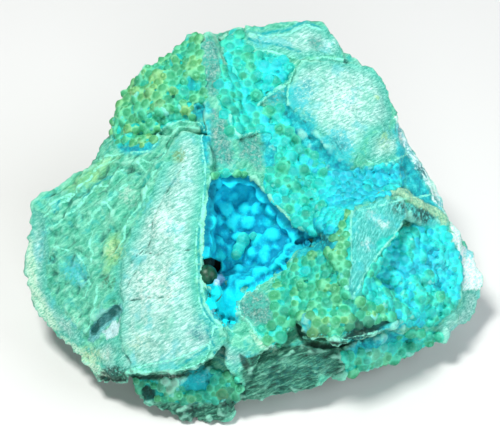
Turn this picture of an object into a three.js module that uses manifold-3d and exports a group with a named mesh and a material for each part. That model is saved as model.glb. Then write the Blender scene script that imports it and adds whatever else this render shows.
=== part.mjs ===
// A palm-size hand specimen of chrysocolla and malachite: one broken, ledged stone, about 92 mm wide, with
// green botryoidal lumps grown on it and a deep open hollow that a blue botryoidal crust lines.
// Millimetres, +Z up, with the display side towards -Y. The origin is on the resting plane, under the
// middle of the stone.
import * as THREE from "three";
import { ConvexGeometry } from "three/addons/geometries/ConvexGeometry.js";
import { TessellateModifier } from "three/addons/modifiers/TessellateModifier.js";
import { mergeVertices } from "three/addons/utils/BufferGeometryUtils.js";
import Module from "manifold-3d";

const wasm = await Module();
wasm.setup();

// Driving dimensions.
const LEAN_DEG = 37; // how far the display side looks up from the horizontal
const DISPLAY_CENTRE = [-0.2, -7.5, 27.5]; // where the display side's own axes start
const ORIGIN_SHIFT = [-0.9, -0.8, 0]; // brings the middle of the whole stone over the origin
const HEART = [1, 14, 19]; // the middle of the stone, which every plate narrows towards
const PLATE_REACH = 0.45; // how far back each plate runs, as a share of the way to the heart
const FACE_STEP = 22; // the longest edge left on a broken face
const SWELL = 0.4; // how far a broken face bows out of flat
const GRAIN = 0.22; // the smaller roughness on top of that bow
const CRUST_WALL = 0.9; // thickness of the blue crust in the hollow
const CRUST_GAP = 0.35; // clearance between the crust and the wall that it lines
const LUMP_RADIUS = [1.6, 2.4]; // smallest and largest botryoidal lump
const LUMP_SINK = 0.3; // how deep a lump sits in what it grew on, as a share of its radius
const LUMP_SPACING = 4.3; // between neighbouring lumps on the stone
const HOLLOW_LUMP_SPACING = 3.5; // between neighbouring lumps in the hollow

// Points on the display side are [across, up, out]: to the right, up the slope, and out of it.
const lean = THREE.MathUtils.degToRad(LEAN_DEG);
const acrossAxis = new THREE.Vector3(1, 0, 0);
const upAxis = new THREE.Vector3(0, Math.sin(lean), Math.cos(lean));
const outAxis = new THREE.Vector3(0, -Math.cos(lean), Math.sin(lean));
const display = new THREE.Matrix4().makeBasis(acrossAxis, upAxis, outAxis).setPosition(...DISPLAY_CENTRE);

// The bulk of the stone behind its display side, as blunt blocks by their corners: [x, y, z].
const BULK = {
  core: [
    [-30, -10, -2], [-16, -22, -2], [2, -23, -2], [22, -12, -2], [36, 0, -2], [30, 24, -2], [2, 32, -2],
    [-26, 25, -2], [-38, 5, -2], [-42.5, 2.5, 18.5], [-43, -1, 13], [-41.5, -4, 8], [-35.5, 9, 27],
    [-24, 18, 31], [-20, 25, 43.5], [-8, 29.5, 50.5], [1, 33, 49], [11, 34, 49], [17, 32.5, 46.5],
    [27, 23, 40.5], [33, 15.5, 30], [37, 10, 22], [44, 4, 13], [45, 0, 8], [-14, -21, 13], [8, -21, 13],
    [16, -8, 22], [-10, -9, 26], [-37, 18, 12], [36, 20, 12],
  ],
  rearShelf: [
    [-34, 12, 3], [-30, 28, -2], [-8, 35, -2], [-5, 39, 7], [-25, 34, 8], [-29, 29, 19], [-9, 38, 17],
    [-12, 31, 25], [-36, 16, 20],
  ],
  rearKnob: [
    [8, 30, -2], [32, 25, -2], [39, 15, 8], [36, 25, 12], [31, 25, 27], [13, 36.5, 23], [11, 37, 9],
    [10, 31, 32], [27, 20, 34],
  ],
  rearSlab: [
    [-24, 20, 34], [-16, 29, 33], [-2, 35, 34], [4, 35, 41], [0, 32, 48], [-12, 29, 48], [-8, 20, 40],
  ],
};

// Broken plates and ledges of the display side, each by its front corners.
const PLATES = {
  leftFlank: [
    [-33, 11.2, -7], [-26, 2, 2], [-22, 0, 5.5], [-25, -7.5, 7], [-25.5, -23.5, 10], [-24, -29.5, 11],
    [-24, -32, 9], [-29.5, -32, 5], [-32.2, -28, 0], [-37.6, -21.8, -4], [-44.2, -14.8, -8],
    [-45.3, -8, -9], [-45.3, 5.2, -10], [-38, 8.8, -9],
  ],
  upperFlank: [
    [-28, 17.5, -8], [-22, 17, -4], [-17, 19, 0.5], [-19.5, 5, 4.5], [-23, -3, 6], [-27, 0, 2],
    [-33, 11.2, -7],
  ],
  paleFace: [
    [-14.5, 19.5, 3], [-9, 19, 3.5], [-8.5, 8.5, 8], [-6.5, -1, 12], [-6, -14.5, 14], [-4.5, -23, 14],
    [-9.5, -27, 15], [-19.5, -29.5, 14], [-23.5, -29.5, 12], [-26, -23.5, 11], [-26, -15, 9],
    [-25, -7.5, 8], [-20, 4.5, 5.5], [-16.5, 16.5, 2], [-13.5, 10, 8.2], [-14.5, 0, 11.6],
    [-15.5, -11, 14.2], [-15, -21, 15.6],
  ],
  shoulder: [
    [-27.6, 17.5, -9], [-28.4, 21.5, -11], [-26.5, 26.5, -12], [-20.2, 32.5, -12], [-14.4, 37, -12],
    [-8, 40.6, -11], [-7, 33, -6], [-9, 19, -3], [-17, 18, -4], [-20, 25, -4], [-24.5, 20, -6],
  ],
  tooth: [
    [-10, 39.4, -9], [-7, 40.3, -9], [-4.5, 33, -5], [-2, 23, -3], [-1, 15, 1], [-3, 9.5, 3],
    [-8.2, 10.5, 4], [-9, 17, 1], [-9, 25, -3], [-9.5, 33, -6],
  ],
  upperBowl: [
    [-6, 39.6, -12], [0.5, 40.4, -14], [10.5, 35.5, -12], [7.5, 24, -7], [15, 16.5, -3], [19.5, 10.5, -2],
    [17, -2, 3], [10, -1, 3], [5, 4, 2], [-1.5, 11, 0], [-4, 23, -6],
  ],
  topBlock: [
    [-1, 41.4, -15], [1, 41.6, -16], [6, 40.4, -16], [11.5, 42.5, -17], [14, 42.5, -17], [17, 40, -17],
    [19, 36.5, -16], [20, 33, -13], [10, 35, -10], [2.5, 35, -11],
  ],
  silverFacet: [
    [11, 34, -9], [8, 28, -6], [7.5, 24, -4], [15, 16, -1], [19.5, 11, 0], [21.5, 16.5, -2],
    [25.5, 20, -4], [30.5, 13, -6], [30.3, 22.5, -10], [28.2, 29.6, -12], [25, 32.6, -13],
    [20, 34.2, -12],
  ],
  smallPlate: [[23, 16.5, -2.5], [30, 19.5, -8], [32, 15, -9], [31, 11.5, -5], [24, 10.5, -1]],
  rightRim: [
    [29.5, 23.5, -13], [31, 18, -13], [35.6, 12, -14], [38, 4, -13], [40, -0.5, -11], [35.5, -2, -7],
    [27, 7, -4], [22, 10, -3],
  ],
  facetTrough: [
    [16.4, 10.8, -2], [20.4, 11.4, -2.5], [24.4, 11.4, -3.5], [30, 11.5, -6.5], [31, 8, -5],
    [27, 5.2, 0.5], [23, 4, 3.5], [20, 3, 5], [16.6, -1, 4.5], [13.5, 0, 4.5], [13, 5, 1],
  ],
  fin: [
    [20, 2.5, 9], [26.5, 5.5, 5], [31, 4.5, 3], [31.5, 1, 2], [27.5, -4, 4.5], [24, -9.5, 8],
    [20, -15, 13.5], [18, -13.5, 15], [16, -5, 14], [15, -0.5, 11],
  ],
  brow: [[27.5, 6, 1], [31.5, 6.5, -1], [37, 2.5, -6], [38.5, -1, -8], [36.5, -3, -7], [32, 1, 0]],
  rightLobe: [
    [19, -6, 3], [27, -2, 0], [34, -3, -3], [40, 0, -9], [42.5, -1, -10], [43, -15.5, -6],
    [40.5, -22.5, -5], [35, -24.5, -2], [30, -21, 3], [22.5, -17.5, 8],
  ],
  rightRind: [
    [40.5, 0.5, -12], [43, -2, -13], [45.8, -5.4, -14], [47.6, -10, -14], [47.4, -15.3, -13],
    [45.8, -19.4, -11], [40, -23, -6], [41, -15.5, -6],
  ],
  lowerLobe: [
    [8, -7.5, 5], [12, -5, 6], [15.5, -6.5, 10], [18.5, -14, 13], [28.5, -14.5, 8], [32, -18, 5],
    [28.5, -20, 8], [23.5, -21, 12], [17.5, -23, 15], [10.5, -22, 14], [9, -17, 11], [7.5, -11.5, 7],
  ],
  speckledPlate: [
    [0.5, -13.5, 7], [4.5, -13, 8], [8, -12, 6], [9.5, -17, 9], [8, -22.5, 10], [4, -25, 11],
    [0, -22.5, 10], [-3, -18.5, 7], [-2.5, -15.5, 5],
  ],
  cornerPlate: [
    [-5.5, -22.5, 13], [-2.5, -21.5, 12], [1, -24, 11], [3.5, -25, 11], [0.5, -28.5, 12], [-2.5, -31, 11],
    [-5.5, -27.5, 12],
  ],
  layeredFoot: [
    [0.5, -28.5, 10], [10, -24, 9], [18, -25, 8], [19.5, -27.5, 6], [14, -29.5, 5], [13.5, -31.6, 6],
    [11.5, -33, 7], [6, -33.4, 8], [0, -34.4, 8], [-3.5, -35.5, 8], [-2.5, -30.5, 11],
  ],
  underLobe: [
    [18, -24.5, 4], [30.5, -19.5, 1], [38.5, -22.5, -5], [39, -24.4, -6], [32, -26.4, -3],
    [28, -27.9, -1], [21, -29.4, 2], [17.2, -29.2, 3], [14.5, -29.5, 4],
  ],
  beadFoot: [
    [-23.5, -30.5, 7], [-10, -28, 6], [-4.5, -27, 8], [-0.5, -31.5, 9], [-4.5, -37, 8], [-9, -38.8, 7],
    [-14, -37.8, 7], [-17.5, -36.5, 7], [-21, -35.5, 6], [-22.5, -33, 6],
  ],
  hollowSurround: [
    [-7, 16, 0], [-1, 17, -4], [8, 10, -3], [18, 6, -2], [22, 0, -1], [20, -9, 2], [8, -14, 5],
    [2, -20, 6], [-6, -20, 9], [-8, 0, 7],
  ],
};

// The hollow's room out to its stone wall: each part wraps a few balls, [across, up, out, radius].
const HOLLOW = {
  mainRoom: [
    [-7.2, 8, 18, 2], [-1.6, 8.6, 8, 2], [8.6, -1.8, 8, 2], [6, -8.8, 12, 2], [0.5, -11.8, 14, 2],
    [-7.4, -13, 18, 2], [-5.6, 6, -2.5, 3.6], [-0.5, 6.4, -3.5, 3.2], [7.2, -2.6, 1, 2.4],
    [2, -7, 0.5, 3.2], [-5, -8, -1, 3.6],
  ],
  sidePassage: [[7.6, -2.6, 6, 2.2], [17, -3.2, 4, 1.8], [7.6, -3.6, 0, 2.4], [16.4, -3.6, -1, 1.8]],
  lowerPocket: [
    [-7.3, -11.5, 20, 2], [-1.7, -12.4, 16, 2], [-3.6, -19.4, 18, 2], [-4.2, -20.6, 18, 1.8],
    [-5.6, -19, 18, 1.6], [-5, -11, 3, 3], [-4.4, -17, 9.5, 2.8], [-3.7, -20, 11, 2.2],
  ],
  darkHole: [[-6.8, -8.8, 6, 2.1], [-7.6, -9.2, -8, 2.3]],
};

// A small pit broken into the left flank, open to the front and shallowing downwards.
const FLANK_PIT = [
  [-25.2, -15.4, 16], [-30, -17, 12], [-32.6, -22.4, 10], [-25.4, -22.8, 17], [-25.8, -16.4, 5.5],
  [-30, -18.2, 2], [-31.8, -21.8, 1.2], [-26, -22.2, 9.5],
];

const LUMPY_PLATES = ["shoulder", "upperBowl", "rightLobe", "lowerLobe", "underLobe", "beadFoot"];

const stoneFinish = new THREE.MeshStandardMaterial({ color: "#6fc0a8", roughness: 0.8, metalness: 0 });
const crustFinish = new THREE.MeshStandardMaterial({ color: "#1fb0d6", roughness: 0.7, metalness: 0 });
stoneFinish.flatShading = true;
crustFinish.flatShading = true;

// Repeatable numbers from 0 up to 1, so that the lumps fall in the same places on every build.
let seed = 20;
function chance() {
  seed = (seed * 1664525 + 1013904223) % 4294967296;
  return seed / 4294967296;
}

function solidOf(geometry) {
  const bare = new THREE.BufferGeometry().setAttribute("position", geometry.getAttribute("position"));
  if (geometry.index) bare.setIndex(geometry.index);
  const merged = mergeVertices(bare, 1e-4);
  return new wasm.Manifold(
    new wasm.Mesh({
      numProp: 3,
      vertProperties: merged.getAttribute("position").array,
      triVerts: new Uint32Array(merged.index.array),
    }),
  );
}

function geometryOf(solid) {
  const mesh = solid.getMesh();
  return new THREE.BufferGeometry()
    .setAttribute("position", new THREE.BufferAttribute(new Float32Array(mesh.vertProperties), 3))
    .setIndex(new THREE.BufferAttribute(new Uint32Array(mesh.triVerts), 1));
}

// A slow bow plus a finer grain, the same for every surface that passes through a place.
function wander(place) {
  const { x, y, z } = place;
  place.x += SWELL * (Math.sin(0.19 * y + 0.8) + Math.sin(0.23 * z + 0.11 * x));
  place.y += SWELL * (Math.sin(0.17 * z + 2.1) + Math.sin(0.21 * x + 1.3));
  place.z += SWELL * (Math.sin(0.2 * x + 0.4) + Math.sin(0.18 * y + 0.13 * x));
  place.x += GRAIN * Math.sin(0.9 * y + 0.7 * z);
  place.y += GRAIN * Math.sin(0.8 * z - 0.9 * x);
  place.z += GRAIN * Math.sin(0.95 * x + 0.6 * y);
  return place;
}

// A convex block of broken stone, its faces no longer quite flat.
function brokenBlock(corners) {
  const geometry = new TessellateModifier(FACE_STEP, 8).modify(new ConvexGeometry(corners));
  const places = geometry.getAttribute("position");
  const place = new THREE.Vector3();
  for (let i = 0; i < places.count; i += 1) {
    wander(place.fromBufferAttribute(places, i));
    places.setXYZ(i, place.x, place.y, place.z);
  }
  return solidOf(geometry);
}

function onDisplay(corners) {
  return corners.map((corner) => new THREE.Vector3(...corner).applyMatrix4(display));
}

function plate(corners) {
  const heart = new THREE.Vector3(...HEART);
  const front = onDisplay(corners);
  const back = front.map((corner) => corner.clone().lerp(heart, PLATE_REACH));
  return brokenBlock([...front, ...back]);
}

// The hollow's room, drawn in all round from its stone wall by the given depth.
function hollowRoom(depth) {
  const rooms = Object.values(HOLLOW).map((balls) => {
    const corners = balls.flatMap(([across, up, out, radius]) => {
      const places = new THREE.IcosahedronGeometry(radius - depth, 0).getAttribute("position");
      const middle = new THREE.Vector3(across, up, out);
      return Array.from({ length: places.count }, (_, i) =>
        new THREE.Vector3().fromBufferAttribute(places, i).add(middle).applyMatrix4(display),
      );
    });
    return solidOf(new ConvexGeometry(corners));
  });
  return rooms.reduce((whole, room) => whole.add(room));
}

function surfaceOf(solid) {
  return new THREE.Mesh(geometryOf(solid), new THREE.MeshBasicMaterial({ side: THREE.DoubleSide }));
}

// Lumps all over the parts of a solid that face the display side and belong to one of the given grounds.
function lumpsOn(solid, grounds, spacing) {
  const surface = surfaceOf(solid);
  const groundSurfaces = grounds.map(surfaceOf);
  const inward = outAxis.clone().negate();
  const rowStep = spacing * 0.87;
  const reach = Math.ceil(52 / spacing);
  const lumps = [];
  for (let row = -reach; row <= reach; row += 1) {
    for (let column = -reach; column <= reach; column += 1) {
      const across = (column + (row % 2 ? 0.5 : 0) + (chance() - 0.5) * 0.5) * spacing;
      const up = (row + (chance() - 0.5) * 0.5) * rowStep;
      const radius = THREE.MathUtils.lerp(...LUMP_RADIUS, chance() ** 1.5);
      const spin = chance() * 6;
      const ray = new THREE.Raycaster(new THREE.Vector3(across, up, 60).applyMatrix4(display), inward);
      const hit = ray.intersectObject(surface)[0];
      if (!hit) continue;
      const onGround = groundSurfaces.some((ground) =>
        ray.intersectObject(ground).some(({ distance }) => Math.abs(distance - hit.distance) < 0.02),
      );
      if (!onGround) continue;
      const middle = hit.point.clone().addScaledVector(hit.face.normal, -LUMP_SINK * radius);
      const stand = new THREE.Quaternion().setFromUnitVectors(new THREE.Vector3(0, 1, 0), hit.face.normal);
      const geometry = new THREE.SphereGeometry(radius, 6, 4).rotateY(spin).applyQuaternion(stand);
      lumps.push(solidOf(geometry.translate(middle.x, middle.y, middle.z)));
    }
  }
  return lumps;
}

const plates = Object.fromEntries(Object.entries(PLATES).map(([name, corners]) => [name, plate(corners)]));
const bulk = Object.values(BULK).map((corners) =>
  brokenBlock(corners.map((corner) => new THREE.Vector3(...corner))),
);
const pit = solidOf(new ConvexGeometry(onDisplay(FLANK_PIT)));
const body = [...bulk, ...Object.values(plates)].reduce((whole, block) => whole.add(block)).subtract(pit);

const wall = hollowRoom(0);
let stone = body.subtract(wall);
const lumpyPlates = LUMPY_PLATES.map((name) => plates[name]);
for (const lump of lumpsOn(stone, lumpyPlates, LUMP_SPACING)) {
  if (lump.intersect(wall).isEmpty()) stone = stone.add(lump);
}
const ground = new THREE.BoxGeometry(200, 200, 50).translate(0, 0, -25);
stone = stone.subtract(solidOf(ground));

const room = hollowRoom(CRUST_GAP + CRUST_WALL);
let crust = hollowRoom(CRUST_GAP).intersect(body).subtract(room);
const lumpLimit = hollowRoom(CRUST_GAP + CRUST_WALL / 2);
for (const lump of lumpsOn(crust, [room], HOLLOW_LUMP_SPACING)) {
  crust = crust.add(lump.intersect(lumpLimit));
}

function piece(name, solid, finish) {
  const mesh = new THREE.Mesh(geometryOf(solid), finish);
  mesh.name = name;
  return mesh;
}

const specimen = new THREE.Group();
specimen.add(piece("rock", stone, stoneFinish));
specimen.add(piece("hollow_crust", crust, crustFinish));
specimen.position.set(...ORIGIN_SHIFT);

export default specimen;
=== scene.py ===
# A palm-size hand specimen of chrysocolla and malachite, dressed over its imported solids.
import math
import bpy
import bmesh
import numpy as np
from mathutils import Matrix, Vector, kdtree, noise


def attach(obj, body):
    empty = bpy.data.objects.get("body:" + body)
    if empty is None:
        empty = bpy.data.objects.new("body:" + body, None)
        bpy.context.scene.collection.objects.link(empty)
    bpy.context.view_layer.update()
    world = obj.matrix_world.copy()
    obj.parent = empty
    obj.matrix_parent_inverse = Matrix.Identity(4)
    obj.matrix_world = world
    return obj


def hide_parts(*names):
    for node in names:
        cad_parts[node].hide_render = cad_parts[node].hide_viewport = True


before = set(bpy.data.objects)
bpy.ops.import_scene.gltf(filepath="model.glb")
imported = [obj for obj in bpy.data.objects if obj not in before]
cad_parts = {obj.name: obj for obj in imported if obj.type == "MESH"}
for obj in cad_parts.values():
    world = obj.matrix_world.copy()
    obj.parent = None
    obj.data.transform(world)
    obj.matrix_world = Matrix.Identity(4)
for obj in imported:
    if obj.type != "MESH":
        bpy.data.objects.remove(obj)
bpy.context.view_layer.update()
mm = 0.001
seed = 41
rng = np.random.default_rng(seed)
noise.seed_set(seed)  # or the vector noise would change from run to run

# The display side leans back. Places on it are [across, up] in mm, as seen straight along its view line.
display = {"lean": math.radians(37), "centre": (-1.1, -8.3, 27.5), "distance": 450, "width": 100}
acrossAxis = np.array((1.0, 0.0, 0.0))
upAxis = np.array((0.0, math.sin(display["lean"]), math.cos(display["lean"])))
outAxis = np.array((0.0, -math.cos(display["lean"]), math.sin(display["lean"])))
displayCentre = np.array(display["centre"])
eye = displayCentre + outAxis * display["distance"]
# a place in the open room of the hollow
roomCentre = Vector(displayCentre + upAxis * -2.5 + outAxis * 5) * mm


# Camera and lights

softLights = {
    # name: place in m, watts, side of the square in m, tint
    "overhead": ((-0.17, -0.12, 0.6), 4.2, 0.15, "#FFFDF8"),
    "front": ((0.02, -0.68, 0.36), 2.1, 0.25, "#FFFFFF"),
    "rightFill": ((0.5, -0.2, 0.32), 2.1, 0.4, "#F4F8FF"),
    "backFill": ((0.1, 0.6, 0.35), 1.2, 0.5, "#F8FAFF"),
}
room = {"colour": "#EEF1F2", "strength": 0.1}


def linear(hexText):
    parts = [int(hexText[i:i + 2], 16) / 255 for i in (1, 3, 5)]
    return tuple(p / 12.92 if p <= 0.04045 else ((p + 0.055) / 1.055) ** 2.4 for p in parts) + (1.0,)


def addObject(name, content):
    holder = bpy.data.objects.new(name, content)
    bpy.context.scene.collection.objects.link(holder)
    return holder


def makeCamera():
    lens = bpy.data.cameras.new("displayCamera")
    lens.sensor_fit = "HORIZONTAL"
    lens.lens = lens.sensor_width * display["distance"] / display["width"]
    lens.clip_start, lens.clip_end = 0.01, 20
    camera = addObject("displayCamera", lens)
    rows = [(*axes, spot * mm) for *axes, spot in zip(acrossAxis, upAxis, outAxis, eye)]
    camera.matrix_world = Matrix((*rows, (0, 0, 0, 1)))
    bpy.context.scene.camera = camera


def makeLights():
    aim = Vector((0, 0, 0.025))
    for name, (place, watts, side, tint) in softLights.items():
        lamp = bpy.data.lights.new(name, "AREA")
        lamp.shape, lamp.size, lamp.energy, lamp.color = "SQUARE", side, watts, linear(tint)[:3]
        holder = addObject(name, lamp)
        holder.location = place
        holder.rotation_euler = (aim - Vector(place)).to_track_quat("-Z", "Y").to_euler()
    world = bpy.data.worlds.new("paleRoom")
    world.use_nodes = True
    background = world.node_tree.nodes["Background"]
    background.inputs["Color"].default_value = linear(room["colour"])
    background.inputs["Strength"].default_value = room["strength"]
    bpy.context.scene.world = world
    bpy.context.scene.view_settings.view_transform = "Standard"


# Node helpers. A socket knows its own tree, so most of them need only the sockets.

def addNode(tree, kind, sockets=None, **settings):
    node = tree.nodes.new(kind)
    for name, value in settings.items():
        setattr(node, name, value)
    for name, value in (sockets or {}).items():
        if isinstance(value, bpy.types.NodeSocket):
            tree.links.new(value, node.inputs[name])
        else:
            node.inputs[name].default_value = value
    return node


def attributes(tree, names):
    return [addNode(tree, "ShaderNodeAttribute", attribute_name=name).outputs["Fac"] for name in names.split()]


def newMaterial(name):
    material = bpy.data.materials.new(name)
    material.use_nodes = True
    material.node_tree.nodes.clear()
    return material, material.node_tree


def millimetres(tree):
    spot = addNode(tree, "ShaderNodeTexCoord").outputs["Object"]
    return addNode(tree, "ShaderNodeVectorMath", {0: spot, "Scale": 1 / mm}, operation="SCALE").outputs[0]


def maths(kind, a, b):
    return addNode(a.id_data, "ShaderNodeMath", {0: a, 1: b}, operation=kind).outputs[0]


def plus(a, b):
    return maths("ADD", a, b)


def times(a, b):
    return maths("MULTIPLY", a, b)


def swing(pattern, amount):
    # a pattern around a half, as a value around zero
    return times(plus(pattern, -0.5), amount)


def grain(place, size, detail=3, roughness=0.6, warp=0.0):
    return addNode(place.id_data, "ShaderNodeTexNoise", {
        "Vector": place, "Scale": 1 / size, "Detail": detail, "Roughness": roughness,
        "Distortion": warp}).outputs["Fac"]


def step(value, low, high, start=0.0, end=1.0):
    return addNode(value.id_data, "ShaderNodeMapRange", {
        "Value": value, "From Min": low, "From Max": high, "To Min": start, "To Max": end},
        interpolation_type="SMOOTHSTEP").outputs["Result"]


def tones(value, *stops):
    # positions and colours in turn
    ramp = addNode(value.id_data, "ShaderNodeValToRGB", {"Fac": value})
    steps = ramp.color_ramp.elements
    for _ in range(len(stops) // 2 - 2):
        steps.new(0.5)
    for item, position, colour in zip(steps, stops[::2], stops[1::2]):
        item.position, item.color = position, linear(colour)
    return ramp.outputs["Color"]


def coated(colour, *coats):
    # colours laid over it in turn, each with how much of it shows
    for over, amount in coats:
        over = linear(over) if isinstance(over, str) else over
        colour = addNode(colour.id_data, "ShaderNodeMix", {0: amount, 6: colour, 7: over},
                         data_type="RGBA").outputs[2]
    return colour


def finished(material, colour, roughness, ior=1.5, specular=0.5, bump=None):
    tree = material.node_tree
    sockets = {"Base Color": colour, "Roughness": roughness, "IOR": ior, "Specular IOR Level": specular}
    if bump:
        height, strength, depth = bump
        sockets["Normal"] = addNode(tree, "ShaderNodeBump", {
            "Height": height, "Strength": strength, "Distance": depth * mm}).outputs[0]
    shader = addNode(tree, "ShaderNodeBsdfPrincipled", sockets)
    addNode(tree, "ShaderNodeOutputMaterial", {"Surface": shader.outputs[0]})
    return material


# Zones of the broken surface, each by its outline, and the lines that cross it.
# Across and up in turn, in steps of 0.2 mm on the display side.

def inMm(steps):
    return [(steps[k] / 5, steps[k + 1] / 5) for k in range(0, len(steps), 2)]


def byKind(rows):
    kinds = {}
    for kind, *steps in rows:
        kinds.setdefault(kind, []).append(inMm(steps))
    return kinds


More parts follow.
